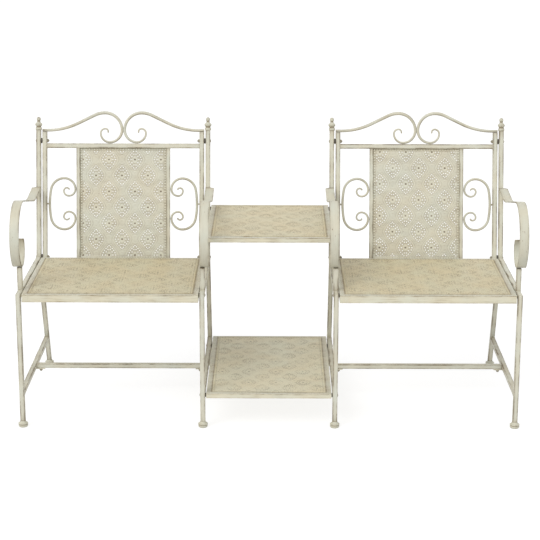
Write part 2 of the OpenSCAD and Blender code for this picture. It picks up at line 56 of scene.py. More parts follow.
RUB_REACH, CUT_RUB, DIRT_REACH, RINGS_SHARE = 1.9 * MM, 1.2 * MM, 9 * MM, 0.4
WELD_IN, WELD_CORNER = 0.3 * MM, 1.26
NAME_SHIFT, PART_SHIFT, TUBE_CREASE = 0.37, 1.3, math.radians(38)
# The wash colour also draws the painted shade that some pieces carry.
CREAM, WASH_AND_SHADE = (0.695, 0.683, 0.585), (0.285, 0.235, 0.150)
BARE, RUST = (0.190, 0.150, 0.100), (0.175, 0.075, 0.035)
AGED, GREENED = (0.985, 0.95, 0.88), (0.965, 0.985, 0.97)
X_AXIS, Y_AXIS, Z_AXIS = np.eye(3)


def middle(node):
    """Middle of a solid's box."""
    low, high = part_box(node)
    return (np.array(low) + np.array(high)) / 2


def circle(count):
    """Points once round a circle of radius one, evenly turned."""
    turn = np.arange(count) / count * 2 * math.pi
    return np.stack([np.cos(turn), np.sin(turn)], 1)


def rounded_box(across, deep, radius):
    """Outline of a rounded rectangle, once round, as (across, deep) points. Each corner is a quarter circle
    of three chords, and each flat has inner points near its ends. The second array is 1 on the corners and
    falls off with the distance from them, as the paint's rubbed edge does."""
    corners = np.array([(1, 1), (-1, 1), (-1, -1), (1, -1)]) * (np.array([across, deep]) / 2 - radius)
    share = np.array([0.09, 0.3, 0.5, 0.7, 0.91])
    points, wear_and_shade = [], []
    for k in range(4):
        turn = math.pi / 2 * k + np.linspace(0, math.pi / 2, 4)
        bend = corners[k] + radius * np.stack([np.cos(turn), np.sin(turn)], 1)
        goal = corners[(k + 1) % 4] + radius * np.array([math.cos(turn[-1]), math.sin(turn[-1])])
        reach = np.minimum(share, 1 - share) * np.linalg.norm(goal - bend[-1])
        points += [bend, bend[-1] + share[:, None] * (goal - bend[-1])]
        wear_and_shade += [np.ones(len(bend)), np.exp(-reach / RUB_REACH)]
    return np.concatenate(points), np.concatenate(wear_and_shade)


def carried(outline, path, side, closed=False, scale=1.0, cuts=(None, None)):
    """Profile carried along a path that lies in one plane, whose normal is side. At each point the profile
    stands in the plane that halves the bend, stretched by one over the cosine of half of it, so corners are
    mitred. A cut slides the end ring along the path onto a plane with that normal. Returns the grid of points
    and the same grid straightened out: across, deep and length along."""
    step = np.diff(np.vstack([path, path[:1]]) if closed else path, axis=0)
    length = np.linalg.norm(step, axis=1)
    step = step / length[:, None]
    before = np.roll(step, 1, 0) if closed else np.vstack([step[:1], step])
    after = step if closed else np.vstack([step, step[-1:]])
    along = before + after
    along /= np.linalg.norm(along, axis=1)[:, None]
    stretch = 1 / (along * after).sum(1)
    scale = scale * np.ones(len(path))
    across = outline[None, :, 0] * (scale * stretch)[:, None]
    deep = outline[None, :, 1] * scale[:, None]
    grid = path[:, None] + across[..., None] * np.cross(side, along)[:, None] + deep[..., None] * side
    for ring, normal in ((0, cuts[0]), (-1, cuts[1])):
        if normal is not None:
            offset = (grid[ring] - path[ring]) @ normal
            grid[ring] -= (offset / (along[ring] @ normal))[:, None] * along[ring]
    run = np.concatenate([[0], np.cumsum(length)])[: len(path)]
    lay = np.stack([across, deep, np.broadcast_to(run[:, None], across.shape)], -1)
    return grid, lay


def skin(grid, lay, wear_and_shade, closed=False, grime_and_shade=0.0, tone=0.0):
    """Faces of a grid of rings: quads from ring to ring, and one many-sided face on each free end. They point
    outwards, which the sign of the volume tells. Dirt lies everywhere by its tone, and gathers within a few
    millimetres of free ends, where the weld or the floor is."""
    rings, sides = grid.shape[:2]
    i = np.arange(rings if closed else rings - 1)[:, None]
    j = np.arange(sides)[None, :]
    here, there = i * sides, (i + 1) % rings * sides
    quads = np.stack([here + j, there + j, there + (j + 1) % sides, here + (j + 1) % sides], -1).reshape(-1, 4)
    points = grid.reshape(-1, 3)
    run = lay[..., 2].reshape(-1)
    reach = np.minimum(run, run.max() - run)
    faces, dirt_and_shade = quads.tolist(), np.full(len(run), tone)
    worn = np.broadcast_to(wear_and_shade, grid.shape[:2]).reshape(-1)
    if not closed:
        faces += [list(range(sides))[::-1], list(range((rings - 1) * sides, rings * sides))]
        dirt_and_shade = dirt_and_shade + np.exp(-reach / DIRT_REACH) * grime_and_shade
        worn = np.maximum(worn, np.exp(-reach / CUT_RUB))
    tri = np.concatenate([quads[:, [0, 1, 2]], quads[:, [0, 2, 3]]])
    a, b, c = (points[tri[:, k]] - points.mean(0) for k in range(3))
    if (np.cross(a, b) * c).sum() < 0:
        faces = [face[::-1] for face in faces]
    return {"points": points, "faces": faces, "lay": lay.reshape(-1, 3), "edge": worn, "grime_and_shade": dirt_and_shade}


def rings_between(corners):
    """Straight runs with extra rings, some millimetres from each free end and each bend, so that wear and dirt
    have points to fade over."""
    ends, bends = np.array([1.2, 4, 10, 25]) * MM, np.array([11, 18, 32]) * MM
    corners = np.asarray(corners, float)
    runs = []
    for k, (a, b) in enumerate(zip(corners[:-1], corners[1:])):
        long = np.linalg.norm(b - a)
        near, far = ends if k == 0 else bends, ends if k == len(corners) - 2 else bends
        t = np.concatenate([[0], near[near < long * RINGS_SHARE], (long - far[far < long * RINGS_SHARE])[::-1]])
        runs.append(a + (b - a) * (t / long)[:, None])
    return np.vstack(runs + [corners[-1:]])


def wire(tree, kind, links=None, **values):
    """Adds a shader node, sets its values, and joins or fills its inputs."""
    made = tree.nodes.new(kind)
    for key, value in values.items():
        setattr(made, key, value)
    for key, value in (links or {}).items():
        if isinstance(value, bpy.types.NodeSocket):
            tree.links.new(value, made.inputs[key])
        else:
            made.inputs[key].default_value = value
    return made


def number(tree, operation, *terms, clamp=False):
    """One step of arithmetic on sockets and numbers."""
    return wire(tree, "ShaderNodeMath", dict(enumerate(terms)), operation=operation, use_clamp=clamp).outputs[0]


def drawn_out(tree, value, low, high, start=0.0, end=1.0):
    """Value spread from between low and high to between start and end, and held there outside them."""
    links = {0: value, 1: low, 2: high, 3: start, 4: end}
    return wire(tree, "ShaderNodeMapRange", links, clamp=True).outputs[0]


def blend_colour(tree, factor, a, b, mode="MIX"):
    """Colour a turned into b by a factor, or multiplied with it."""
    return wire(tree, "ShaderNodeMix", {0: factor, 6: a, 7: b}, data_type="RGBA", blend_type=mode).outputs[2]


def noise(tree, vector, scale, detail, rough, low, high):
    """Noise over a stretched vector, drawn out between two limits."""
    placed = wire(tree, "ShaderNodeVectorMath", {0: vector, 1: scale}, operation="MULTIPLY").outputs[0]
    made = wire(tree, "ShaderNodeTexNoise", {"Vector": placed, "Scale": 1.0, "Detail": detail, "Roughness": rough})
    return drawn_out(tree, made.outputs[0], low, high)


def effect(name, inputs, outputs):
    """Empty node group with named inputs, of a kind and a first value, and named outputs of a kind."""
    group = bpy.data.node_groups.new(name, "ShaderNodeTree")
    for key, (kind, first) in inputs.items():
        made = group.interface.new_socket(name=key, in_out="INPUT", socket_type=f"NodeSocket{kind}")
        if first is not None:
            made.default_value = first
    for key, kind in outputs.items():
        group.interface.new_socket(name=key, in_out="OUTPUT", socket_type=f"NodeSocket{kind}")
    return group, group.nodes.new("NodeGroupInput").outputs, group.nodes.new("NodeGroupOutput").inputs


def antique_paint():
    """The finish as a whole: cream paint laid on by brush and drifting in tone, a grey-brown wash dragged along it
    and left in hollows, which also carries the painted shade that pieces give it, edges rubbed through to bare steel,
    and a little rust bled out of pinholes."""
    group, came, goes = effect("antique_paint", {
        "Lay": ("Vector", None), "Edge": ("Float", 0.0), "Hollow": ("Float", 0.0), "Paint": ("Color", (*CREAM, 1)),
        "Wash": ("Color", (*WASH_AND_SHADE, 1)), "Streaks": ("Float", 0.25), "Rubbing": ("Float", 0.6),
        "Rusting": ("Float", 0.5)}, {"Colour": "Color", "Roughness": "Float", "Height": "Float"})
    lay, edge = came["Lay"], came["Edge"]
    drag = noise(group, lay, (380, 380, 14), detail=5, rough=0.62, low=0.45, high=0.72)
    cloud = noise(group, lay, (12, 12, 9), detail=3, rough=0.5, low=0.36, high=0.64)
    fine = noise(group, lay, (600, 600, 320), detail=3, rough=0.6, low=0.32, high=0.68)
    patch = noise(group, lay, (40, 40, 17), detail=4, rough=0.6, low=0.38, high=0.64)
    # Paint under wash.
    aged = blend_colour(group, 1.0, came["Paint"], (*AGED, 1), "MULTIPLY")
    green = blend_colour(group, 1.0, came["Paint"], (*GREENED, 1), "MULTIPLY")
    pale = blend_colour(group, cloud, green, aged)
    streak = number(group, "MULTIPLY", drag, number(group, "MULTIPLY_ADD", patch, 0.75, 0.25))
    streak = number(group, "MULTIPLY", streak, came["Streaks"])
    hollow = number(group, "MULTIPLY", came["Hollow"], number(group, "MULTIPLY_ADD", patch, 0.45, 0.6))
    band = number(group, "MULTIPLY", number(group, "MULTIPLY", edge, came["Rubbing"]),
                  number(group, "MULTIPLY_ADD", patch, 0.8, 0.15))
    laid = number(group, "ADD", number(group, "ADD", streak, hollow), band, clamp=True)
    washed = blend_colour(group, laid, pale, came["Wash"])
    # Bare steel on rubbed edges, then rust.
    rub = number(group, "ADD", number(group, "MULTIPLY_ADD", edge, 1.3, -1.75),
                 number(group, "MULTIPLY_ADD", fine, 0.5, number(group, "MULTIPLY", patch, 0.75)))
    rub = number(group, "MULTIPLY", drawn_out(group, rub, 0.0, 0.5), came["Rubbing"])
    wear_and_shade = blend_colour(group, rub, washed, (*BARE, 1))
    spot = noise(group, lay, (190, 190, 120), detail=2, rough=0.5, low=0.68, high=0.75)
    few = noise(group, lay, (9, 9, 7), detail=2, rough=0.5, low=0.5, high=0.62)
    spot = number(group, "MULTIPLY", number(group, "MULTIPLY", spot, few), came["Rusting"])
    group.links.new(blend_colour(group, spot, wear_and_shade, (*RUST, 1)), goes["Colour"])
    rough = number(group, "MULTIPLY_ADD", fine, 0.14, number(group, "MULTIPLY_ADD", rub, 0.25, 0.42))
    group.links.new(rough, goes["Roughness"])
    height = number(group, "MULTIPLY_ADD", drag, 0.35, number(group, "MULTIPLY_ADD", rub, -0.9, fine))
    group.links.new(height, goes["Height"])
    return group


PAINT_GROUP = antique_paint()


def paint(name, colour=CREAM, wash=WASH_AND_SHADE, streaks=0.3, rubbing=0.6, rusting=0.5, from_object=False, hollow="grime_and_shade"):
    """The finish laid on one kind of piece. A new piece gives its straightened coordinates, rubbed edges and dirt,
    both with some painted shade, as attributes, and a carried-over solid gives its own place in the bench."""
    made = bpy.data.materials.new(name)
    made.use_nodes = True
    tree = made.node_tree
    given = {"Paint": (*colour, 1), "Wash": (*wash, 1), "Streaks": streaks, "Rubbing": rubbing, "Rusting": rusting}
    if from_object:
        given["Lay"] = tree.nodes.new("ShaderNodeTexCoord").outputs["Object"]
    else:
        for key, attribute, output in (("Lay", "lay", "Vector"), ("Edge", "edge", "Fac"), ("Hollow", hollow, "Fac")):
            given[key] = wire(tree, "ShaderNodeAttribute", attribute_name=attribute).outputs[output]
    finish = wire(tree, "ShaderNodeGroup", given, node_tree=PAINT_GROUP, name="finish").outputs
    bump = wire(tree, "ShaderNodeBump", {"Height": finish["Height"], "Strength": 0.35, "Distance": 0.4 * MM})
    shader = tree.nodes["Principled BSDF"].inputs
    tree.links.new(finish["Colour"], shader["Base Color"])
    tree.links.new(finish["Roughness"], shader["Roughness"])
    tree.links.new(bump.outputs[0], shader["Normal"])
    return made


def put(name, points, faces, values, crease, material, nodes, weighted=False):
    """Makes a mesh with its attributes, and puts the piece in the place of the nodes that it stands for."""
    mesh = bpy.data.meshes.new(name)
    mesh.from_pydata(points.tolist(), [], faces)
    for key, value in values.items():
        kind, field = ("FLOAT_VECTOR", "vector") if value.ndim == 2 else ("FLOAT", "value")
        mesh.attributes.new(key, kind, "POINT").data.foreach_set(field, value.ravel())
    mesh.polygons.foreach_set("use_smooth", np.ones(len(mesh.polygons), bool))
    mesh.set_sharp_from_angle(angle=crease)
    mesh.materials.append(material)
    piece = bpy.data.objects.new(name, mesh)
    bpy.context.scene.collection.objects.link(piece)
    if weighted:
        piece.modifiers.new("even_flats", "WEIGHTED_NORMAL").keep_sharp = True
    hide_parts(*nodes)
    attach(piece, "root")


def build(name, parts, material, nodes, weighted=True):
    """Joins skins into one painted piece. Each skin's coordinates are shifted, so no two wear alike."""
    starts = np.cumsum([0] + [len(part["points"]) for part in parts])
    faces = [[v + start for v in face] for part, start in zip(parts, starts.tolist()) for face in part["faces"]]
    seed = sum(ord(c) for c in name) * NAME_SHIFT
    lay = np.concatenate([part["lay"] + np.array([0.0, 0.0, seed + PART_SHIFT * k]) for k, part in enumerate(parts)])
    points, edge, grime_and_shade = (np.concatenate([part[key] for part in parts]) for key in ("points", "edge", "grime_and_shade"))
    put(name, points, faces, {"lay": lay, "edge": edge, "grime_and_shade": grime_and_shade}, TUBE_CREASE, material, nodes,
        weighted)


def weld(centre, axis_a, axis_b, half, thick, seed):
    """Weld round a square tube: a small circle carried round a rounded square, swelling in nineteen small and
    five slow ripples as the welder's hand moved on. axis_a and axis_b span the joint's plane."""
    turn = np.linspace(0, 2 * math.pi, 57)[:-1]
    cos, sin = np.cos(turn), np.sin(turn)
    reach = np.minimum(half / np.maximum(np.abs(cos), np.abs(sin)), half * WELD_CORNER)
    path = centre + (reach * cos)[:, None] * axis_a + (reach * sin)[:, None] * axis_b
    ripple = thick * (0.8 + 0.16 * np.sin(turn * 19 + seed) + 0.12 * np.sin(turn * 5 + 2 * seed))
    normal = np.cross(axis_a, axis_b)
    grid, lay = carried(circle(8), path, normal / np.linalg.norm(normal), closed=True, scale=ripple)
    return skin(grid, lay, 0.35, closed=True, tone=0.28)


def on_frame(x, *points):
    """Points of a side frame's plane, given as depth from the bench's front and height."""
    return np.array([(x, FRONT + y, z) for y, z in points])


def on_post_front(z):
    """Depth at which a level tube meets the front of the splayed leg."""
    return KNEE_Y - (TUBE / 2 + (z - SEAT_H) * math.sin(SPLAY)) / math.cos(SPLAY)


square, square_rub = rounded_box(TUBE, TUBE, TUBE_CORNER)
low_way = np.array([0, -math.sin(SPLAY), math.cos(SPLAY)])
high_way = np.array([0, math.sin(RECLINE), math.cos(RECLINE)])
low_front = np.array([0, -math.cos(SPLAY), -math.sin(SPLAY)])
rear_foot = (KNEE_Y + (SEAT_H - FOOT_H) * math.tan(SPLAY), FOOT_H)
post_top = (KNEE_Y + POST_RISE * math.sin(RECLINE), SEAT_H + POST_RISE * math.cos(RECLINE))
rail_end, bar_end = (on_post_front(RAIL_Z), RAIL_Z), (on_post_front(STRETCHER_Z), STRETCHER_Z)
frame_paint = paint("cream_tube_paint", streaks=0.24, rubbing=0.75, rusting=0.45)
for which in FRAMES:
    x = middle(f"front_leg_{which}")[0]
    parts = []
    for corners, cuts, tone in (
        ([(TUBE / 2, FOOT_H), (TUBE / 2, RAIL_Z), rail_end], (None, low_front), 0.0),
        ([rear_foot, (KNEE_Y, SEAT_H), post_top], (Z_AXIS, None), 0.03),
        ([(TUBE, STRETCHER_Z), bar_end], (None, low_front), 0.22),
        ([(SUPPORT_Y, SEAT_H), (SUPPORT_Y, SUPPORT_TOP)], (None, None), 0.0),
    ):
        grid, lay = carried(square, rings_between(on_frame(x, *corners)), X_AXIS, cuts=cuts)
        parts.append(skin(grid, lay, square_rub, grime_and_shade=0.5, tone=tone))
    for k, (spot, up, thick) in enumerate((((TUBE, STRETCHER_Z), Z_AXIS, 1.7), (bar_end, low_way, 1.7),
                                           (rail_end, low_way, 1.7), ((SUPPORT_Y, SEAT_H), Y_AXIS, 1.4))):
        parts.append(weld(on_frame(x, spot)[0], X_AXIS, up, TUBE / 2 - WELD_IN, thick * MM, x + k))
    nodes = [f"{part}_{which}" for part in ("front_leg", "side_rail", "rear_post", "side_stretcher", "arm_support")]
    build(f"side_frame_{which}", parts, frame_paint, nodes)

# Arm straps.
# One flat bar of 30 by 4 mm to each side frame: it leaves the post's front face, dips, climbs over a big
# arc in front and curls in under itself. Its inner edge is flush with the tubes on the chair's side.
CHAIR_SIDE = {"left_outer": 1, "left_inner": -1, "right_inner": 1, "right_outer": -1}
STRAP_W, STRAP_T, STRAP_CORNER = 30 * MM, 4 * MM, 1.1 * MM
ARM_R, CURL_R, DIP_R = 110 * MM, 49 * MM, 190 * MM
ARM_MID = np.array([125, 614]) * MM
DIP_Z, FALL, CLIMB, CURL_START = 670 * MM, math.radians(12.6), math.radians(6), math.radians(222)
CURL_END_Z, LAST_RING, CURL_SHADE_REACH = 603.9 * MM, 19 * MM, 110 * MM


def arc(mid, radius, start, end, pitch=math.radians(2.5)):
    """Points on an arc about mid, from one angle to the other."""
    turn = np.linspace(start, end, max(3, math.ceil(abs(end - start) / pitch) + 1))
    return np.asarray(mid) + radius * np.stack([np.cos(turn), np.sin(turn)], 1)


fall_way, fall_out = np.array([math.cos(FALL), -math.sin(FALL)]), np.array([math.sin(FALL), math.cos(FALL)])
climb_way = np.array([math.cos(CLIMB), math.sin(CLIMB)])
curl_mid = ARM_MID + (ARM_R - CURL_R) * np.array([math.cos(CURL_START), math.sin(CURL_START)])
curl_end = math.asin((CURL_END_Z - curl_mid[1]) / (CURL_R + STRAP_T / 2))
fall_from = ARM_MID + ARM_R * fall_out
fall_run = (fall_from[1] - DIP_Z - DIP_R * (1 - math.cos(FALL))) / math.sin(FALL)
dip_mid = fall_from + fall_run * fall_way + DIP_R * fall_out
climb_from = dip_mid + DIP_R * np.array([math.sin(CLIMB), -math.cos(CLIMB)])
strap_end = KNEE_Y + (climb_from[1] + TUBE / 2 - SEAT_H) * math.tan(RECLINE) - TUBE / 2 / math.cos(RECLINE)
climb_run = (strap_end - climb_from[0]) / math.cos(CLIMB)
strap_line = np.vstack([
    arc(curl_mid, CURL_R, 2 * math.pi + curl_end, CURL_START),
    arc(ARM_MID, ARM_R, CURL_START, math.pi / 2 - FALL)[1:],
    fall_from + fall_run * 0.5 * fall_way,
    arc(dip_mid, DIP_R, 1.5 * math.pi - FALL, 1.5 * math.pi + CLIMB),
    climb_from + climb_way * climb_run * 0.4,
    climb_from + climb_way * (climb_run - LAST_RING),
    climb_from + climb_way * climb_run,
])
strap_outline, strap_rub = rounded_box(STRAP_T, STRAP_W, STRAP_CORNER)
strap_paint = paint("cream_strap_paint", colour=(0.655, 0.642, 0.540), streaks=0.24, rubbing=0.7, rusting=0.9)
for which, toward in CHAIR_SIDE.items():
    leg_x = middle(f"front_leg_{which}")[0]
    x = leg_x - toward * (STRAP_W - TUBE) / 2
    path = np.stack([np.full(len(strap_line), x), FRONT + strap_line[:, 0], strap_line[:, 1]], 1)
    grid, lay = carried(strap_outline, path, X_AXIS)
    # The last ring lies on the sloping post, and wraps round it where the bar is wider than the tube.
    past = np.maximum(0, (leg_x - toward * TUBE / 2 - grid[-1, :, 0]) * toward)
    slant = (grid[-1, :, 2] - path[-1, 2]) * math.tan(RECLINE)
    grid[-1, :, 1] = path[-1, 1] + slant - past
    part = skin(grid, lay, strap_rub, grime_and_shade=0.35)
    # Painted shade: the strap is darker toward the curl's tip, where the curl turns in on itself.
    part["grime_and_shade"] += 0.3 * np.exp(-lay[..., 2].ravel() / CURL_SHADE_REACH)
    build(f"arm_strap_scroll_{which}", [part], strap_paint, [f"arm_strap_{which}"])

# Feet and finials.
# Round flared feet and urn finials, turned as shells; the square plug that goes into the tube's bore is not drawn.
# The rear feet stand upright under the splayed legs and the finials tilt with the posts.
FOOT_SHAPE = np.array([(0, 0.80), (0.05, 0.88), (0.14, 0.94), (0.26, 0.96), (0.35, 0.94), (0.42, 0.89), (0.48, 0.95),
                       (0.54, 1), (0.60, 0.97), (0.68, 0.84), (0.76, 0.70), (0.86, 0.60), (0.93, 0.56), (1, 0.54)])
FINIAL_SHAPE = np.array([(0, 0.86), (0.02, 0.88), (0.15, 0.88), (0.17, 0.86), (0.185, 0.72), (0.23, 0.66),
                         (0.28, 0.72), (0.33, 0.88), (0.38, 0.98), (0.42, 1), (0.46, 0.96), (0.52, 0.78),
                         (0.58, 0.58), (0.63, 0.46), (0.67, 0.41), (0.695, 0.42), (0.73, 0.52), (0.78, 0.575),
                         (0.835, 0.592), (0.89, 0.56), (0.94, 0.45), (0.98, 0.26), (1, 0.04)])
FOOT_D, FINIAL_D, FINIAL_H = 32 * MM, 24.5 * MM, 44.5 * MM
GROOVE_WINDOW, GROOVE_DEPTH, GROOVE_SHADE_AND_DIRT, EDGE_WEAR = 5, 0.8 * MM, 1.7, 1.4


def turned(shape, diameter, height, base, up):
    """Turned piece: its radius follows a table of shares along the height, and is swept once round the axis, up, from
    base. Edges are worn where the radius crests, and painted shade with some dirt lies where it sinks between two
    wider places."""
    rise = np.linspace(0, 1, 48) * height
    radius = np.interp(rise / height, shape[:, 0], shape[:, 1]) * diameter / 2
    ring = circle(40)
    spokes = ring[:, :1] * X_AXIS + ring[:, 1:] * np.cross(X_AXIS, up)
    grid = base + rise[:, None, None] * up + radius[:, None, None] * spokes
    lay = np.stack(np.broadcast_arrays(*(radius[:, None] * ring[:, k] for k in (0, 1)), rise[:, None]), -1)
    bend = np.gradient(np.gradient(radius))
    part = skin(grid, lay, np.clip(-bend[:, None] / np.abs(bend).max() * EDGE_WEAR, 0, 1))
    padded = np.pad(radius, GROOVE_WINDOW, mode="edge")
    widest = np.lib.stride_tricks.sliding_window_view(padded, GROOVE_WINDOW + 1).max(1)
    sunk = np.minimum(widest[:len(radius)], widest[-len(radius):]) - radius
    # Painted shade, with some dirt, in the grooves, over an even tone.
    part["grime_and_shade"] = np.repeat(0.12 + np.clip(sunk / GROOVE_DEPTH, 0, 1) * GROOVE_SHADE_AND_DIRT, len(ring))
    return part


turned_paint = paint("cream_turned_paint", colour=(0.650, 0.640, 0.540), streaks=0.4, rubbing=0.6, rusting=0.3)
for name, node, shape, wide, tall, (y, z), up in (
    ("turned_front_feet", "front_feet", FOOT_SHAPE, FOOT_D, FOOT_H, (TUBE / 2, 0), Z_AXIS),
    ("turned_rear_feet", "rear_feet", FOOT_SHAPE, FOOT_D, FOOT_H, (rear_foot[0], 0), Z_AXIS),
    ("urn_finials", "finials", FINIAL_SHAPE, FINIAL_D, FINIAL_H, post_top, high_way),
):
    bases = [on_frame(middle(f"front_leg_{which}")[0], (y, z))[0] for which in FRAMES]
    build(name, [turned(shape, wide, tall, base, up) for base in bases], turned_paint, [node], weighted=False)

# Back panels.
# Each back is a flat panel of the same tube, reclined with the posts and bolted to them: two uprights,
# a top and a bottom rail, and two bars that hold the pierced sheet between them.
UPRIGHT_X, PANEL_DROP, UPRIGHT_RISE, TOP_RAIL = 272.1 * MM, 24 * MM, 430 * MM, 390 * MM
BAR_X, BAR_W, BAR_D, BAR_CORNER = 156 * MM, 12.5 * MM, 12 * MM, 1.6 * MM
BAR_LOW, BAR_HIGH = TUBE - PANEL_DROP, TOP_RAIL - TUBE
CHAIRS = {which: middle(f"back_top_rail_{which}")[0] for which in ("left", "right")}
SLOPE_OUT = np.cross(X_AXIS, high_way)


def on_panel(which, u, s):
    """Places points of the panel's plane, u across from the chair's middle and s up the slope."""
    u, s = np.asarray(u, float), np.asarray(s, float)
    base = np.array([CHAIRS[which], FRONT + KNEE_Y, SEAT_H])
    return base + u[..., None] * X_AXIS + s[..., None] * high_way


bar, bar_rub = rounded_box(BAR_W, BAR_D, BAR_CORNER)
inner = UPRIGHT_X - TUBE / 2
rail_rises = (TOP_RAIL - TUBE / 2, TUBE / 2 - PANEL_DROP)
for which in CHAIRS:
    parts = []
    rows = [([sign * UPRIGHT_X] * 2, [-PANEL_DROP, UPRIGHT_RISE], square, square_rub) for sign in (-1, 1)]
    rows += [([-inner, inner], [s] * 2, square, square_rub) for s in rail_rises]
    rows += [([sign * BAR_X] * 2, [BAR_LOW, BAR_HIGH], bar, bar_rub) for sign in (-1, 1)]
    for u, s, outline, rub in rows:
        grid, lay = carried(outline, rings_between(on_panel(which, u, s)), SLOPE_OUT)
        parts.append(skin(grid, lay, rub, grime_and_shade=0.42))
    for sign in (-1, 1):
        for s in rail_rises:
            spot = on_panel(which, sign * inner, s)
            parts.append(weld(spot, high_way, SLOPE_OUT, TUBE / 2 - WELD_IN, 1.5 * MM, s + sign))
        for s in (BAR_LOW, BAR_HIGH):
            spot = on_panel(which, sign * BAR_X, s)
            parts.append(weld(spot, X_AXIS, SLOPE_OUT, BAR_D / 2 - WELD_IN, 1.3 * MM, s + sign))
    nodes = [f"{part}_{which}" for part in ("back_uprights", "back_top_rail", "back_bottom_rail", "back_bars")]
    build(f"back_panel_{which}", parts, frame_paint, nodes)

# Scrolls.
# Round rod bent cold: a crest that lies on the uprights and rolls in over the top rail, and a C between
# bar and upright. The rod is drawn thinner toward the rolled end, whose tip is left blunt.
CREST_ROD, CREST_RISE, CREST_LOOP, CREST_SLOPE = 10 * MM, 496 * MM, 59 * MM, math.radians(26)
CREST_TAPER = (0.0, 0.25, 0.45, 0.66, 0.8, 0.9, 1.0), (0.92, 1.06, 1.14, 0.98, 0.82, 0.67, 0.54)
C_ROD, C_H, C_RISE, C_BACK = 8.5 * MM, 177 * MM, 181 * MM, 4.4 * MM
CREST_TOUCH, CREST_REST, CREST_SHOULDER, CREST_FALL = 0.88, 0.84, 1.36, (0.735, 0.5, 0.65)
C_SHOULDER, C_TURN, C_FALL = 0.53, 0.43, (0.6, 0.75, 0.62, 0.8)
C_TAPER = (0.0, 0.1, 0.22, 0.4, 0.6, 0.78, 0.9, 1.0), (0.64, 0.76, 0.93, 1.0, 1.0, 0.93, 0.76, 0.64)
FIT, TIP_SHARE, QUARTER = 0.3 * MM, 0.22, math.pi / 2
STUB_IN, STUB_OUT, STUB_RADII = 5.5 * MM, 0.4 * MM, np.array([2.4, 3.2]) * MM


def crest_line():
    """Middle line of the right crest rod from the upright to its rolled tip, as (u, s) points: level run,
    upward bend, straight run at the slope, shoulder, then quarter arcs, each radius a share of the last."""
    touch = (CREST_ROD * CREST_TOUCH + FIT) / 2
    mid = np.array([touch + CREST_LOOP, CREST_RISE - CREST_LOOP])
    low = TOP_RAIL + FIT + CREST_ROD * CREST_REST / 2
    r2 = mid[1] - low
    r3, r4, r5 = r2 * np.cumprod(CREST_FALL)
    shoulder_r = CREST_SHOULDER * CREST_LOOP
    tail_s, tail_u = UPRIGHT_RISE + CREST_ROD / 2 + FIT, UPRIGHT_X - 0.6 * TUBE
    turn = np.array([math.sin(CREST_SLOPE), math.cos(CREST_SLOPE) - 1])
    shoulder = np.array([mid[0], CREST_RISE]) + shoulder_r * turn
    drop = shoulder[1] - tail_s
    tail_r = (tail_u - shoulder[0] - drop / math.tan(CREST_SLOPE)) / math.tan(CREST_SLOPE / 2)
    curl = touch + r2 + r3 - r4
    return np.vstack([
        [(UPRIGHT_X + TUBE / 2, tail_s)],
        arc((tail_u, tail_s + tail_r), tail_r, 3 * QUARTER, 3 * QUARTER - CREST_SLOPE, 0.02),
        arc((mid[0], CREST_RISE - shoulder_r), shoulder_r, QUARTER - CREST_SLOPE, QUARTER, 0.06),
        arc(mid, CREST_LOOP, QUARTER, 2 * QUARTER, 0.07)[1:],
        arc((touch + r2, mid[1]), r2, 2 * QUARTER, 3 * QUARTER, 0.08)[1:],
        arc((touch + r2, low + r3), r3, 3 * QUARTER, 4 * QUARTER, 0.09)[1:],
        arc((curl, low + r3), r4, 0, QUARTER, 0.12)[1:],
        arc((curl, low + r3 + r4 - r5), r5, QUARTER, math.radians(205), 0.15)[1:],
    ])


def c_line():
    """Middle line of the right C rod from one rolled tip to the other, as (u, s) points about its middle: a
    wide arc for the back, then quarter arcs, each radius a share of the last, and the same mirrored."""
    inside = BAR_X + BAR_W / 2 + FIT + C_ROD / 2
    back = UPRIGHT_X - TUBE / 2 - C_BACK - C_ROD / 2
    r1, r2 = C_SHOULDER * C_H / 2, C_TURN * C_H / 2
    r3, r4, r5, r6 = r2 * np.cumprod(C_FALL)
    sweep = 2 * math.atan((back - inside - r2 - r1) / (C_H / 2 - r1))
    big = r1 + (C_H / 2 - r1) / math.sin(sweep)
    side, low = C_H / 2 - r2, C_H / 2 - r2 - r3
    upper = np.vstack([
        arc((back - big, 0), big, 0, sweep, 0.03),
        arc((inside + r2, C_H / 2 - r1), r1, sweep, QUARTER, 0.07)[1:],
        arc((inside + r2, side), r2, QUARTER, 2 * QUARTER, 0.08)[1:],
        arc((inside + r3, side), r3, 2 * QUARTER, 3 * QUARTER, 0.09)[1:],
        arc((inside + r3, low + r4), r4, 3 * QUARTER, 4 * QUARTER, 0.1)[1:],
        arc((inside + r3 + r4 - r5, low + r4), r5, 0, QUARTER, 0.14)[1:],
        arc((inside + r3 + r4 - r5, low + r4 + r5 - r6), r6, QUARTER, math.radians(170), 0.16)[1:],
    ])
    return np.vstack([upper[:0:-1] * np.array([1, -1]), upper])


def rod(which, line, sign, rise, diameter, taper, both_rolled):
    """Rod carried along a line of the panel, its radius following a table along the length, with the rolled ends
    rounded over their last stretch. Painted shade darkens its underside."""
    run = np.concatenate([[0], np.cumsum(np.linalg.norm(np.diff(line, axis=0), axis=1))])
    radius = np.interp(run / run[-1], *taper) * diameter / 2
    for away in [run[-1] - run] + [run] * both_rolled:
        radius *= np.sqrt(np.clip(away / (diameter * TIP_SHARE), 0.12, 1))
    path = on_panel(which, sign * line[:, 0], rise + line[:, 1])
    grid, lay = carried(rod_outline, path, SLOPE_OUT, scale=radius)
    part = skin(grid, lay, 0.4 + 0.4 * rod_outline[:, 0], grime_and_shade=0.2, tone=0.1)
    # Painted shade: darker toward the rod's underside, as if lit from above.
    part["grime_and_shade"] += 0.45 * np.clip((path[:, None, 2] - grid[..., 2]) / radius[:, None], 0, 1).reshape(-1)
    return part


